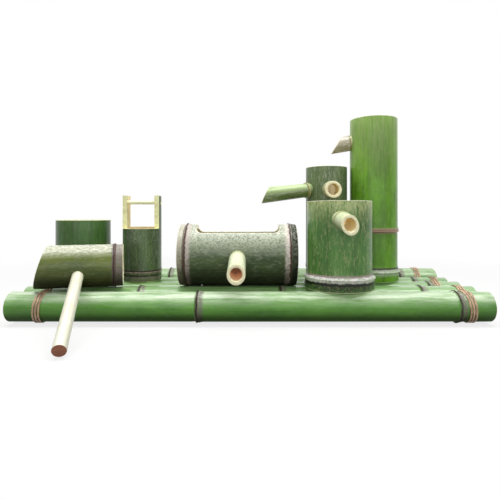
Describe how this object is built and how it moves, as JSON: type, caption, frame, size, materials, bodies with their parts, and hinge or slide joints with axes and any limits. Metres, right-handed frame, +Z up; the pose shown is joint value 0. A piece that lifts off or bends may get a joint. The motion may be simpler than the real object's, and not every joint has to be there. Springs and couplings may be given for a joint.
{
  "type": "bamboo fountain",
  "caption": "Tabletop fountain of cut bamboo on a lashed raft of poles: water steps from a tall culm through slanting spouts into lower culms and a trough, with bucket, ladle and cup.",
  "frame": {"origin": "on the ground under the middle of the raft's length, 2 mm in front of the middle pole", "axes": "+X along the poles towards the tall culm, +Y to the back, +Z up"},
  "size_m": [0.73, 0.3897, 0.338],
  "materials": {
    "pole_skin": "glossy green bamboo skin",
    "fresh_bamboo": "satin fresh green bamboo skin",
    "weathered_bamboo": "matte dark green bamboo with grey bloom",
    "deep_bamboo": "satin dark green bamboo with pale specks",
    "drum_bamboo": "dark green bamboo with white bloom on top",
    "olive_bamboo": "olive green bamboo",
    "green_spout": "satin light green bamboo branch",
    "pale_spout": "pale cut bamboo branch",
    "waxy_spout": "pink and beige waxy bamboo branch",
    "peeled_bamboo": "pale peeled bamboo",
    "rattan": "brown split rattan",
    "fitting_plastic": "matte black moulded",
    "hose_plastic": "milky soft tube",
    "seal_rubber": "matte",
    "stainless": "plain stainless"
  },
  "bodies": {
    "fountain": {"raft_pole_1": "pole_skin", "raft_pole_2": "pole_skin", "raft_pole_3": "pole_skin", "raft_pole_4": "pole_skin", "raft_pole_5": "pole_skin", "lashing_left": "rattan", "lashing_right": "rattan", "tall_culm": "fresh_bamboo", "tall_spout": "waxy_spout", "hose_inlet": "fitting_plastic", "inlet_grommet": "seal_rubber", "riser_hose": "hose_plastic", "medium_culm": "weathered_bamboo", "medium_side_spout": "green_spout", "medium_front_spout": "pale_spout", "front_culm": "deep_bamboo", "front_spout": "pale_spout", "drum": "drum_bamboo", "drum_spout": "pale_spout", "hold_down_screws": "stainless"},
    "bucket": {"bucket": "weathered_bamboo", "bucket_crossbar": "peeled_bamboo"},
    "ladle": {"ladle_cup": "olive_bamboo", "ladle_handle": "peeled_bamboo"},
    "cup": {"cup": "deep_bamboo"}
  },
  "joints": [
    {"name": "bucket_lift", "type": "slide", "parent": "fountain", "child": "bucket", "axis": [0, 0, 1], "range_m": [0, 0.2]},
    {"name": "ladle_lift", "type": "slide", "parent": "fountain", "child": "ladle", "axis": [0, 0, 1], "range_m": [0, 0.2]},
    {"name": "cup_lift", "type": "slide", "parent": "fountain", "child": "cup", "axis": [0, 0, 1], "range_m": [0, 0.2]}
  ]
}
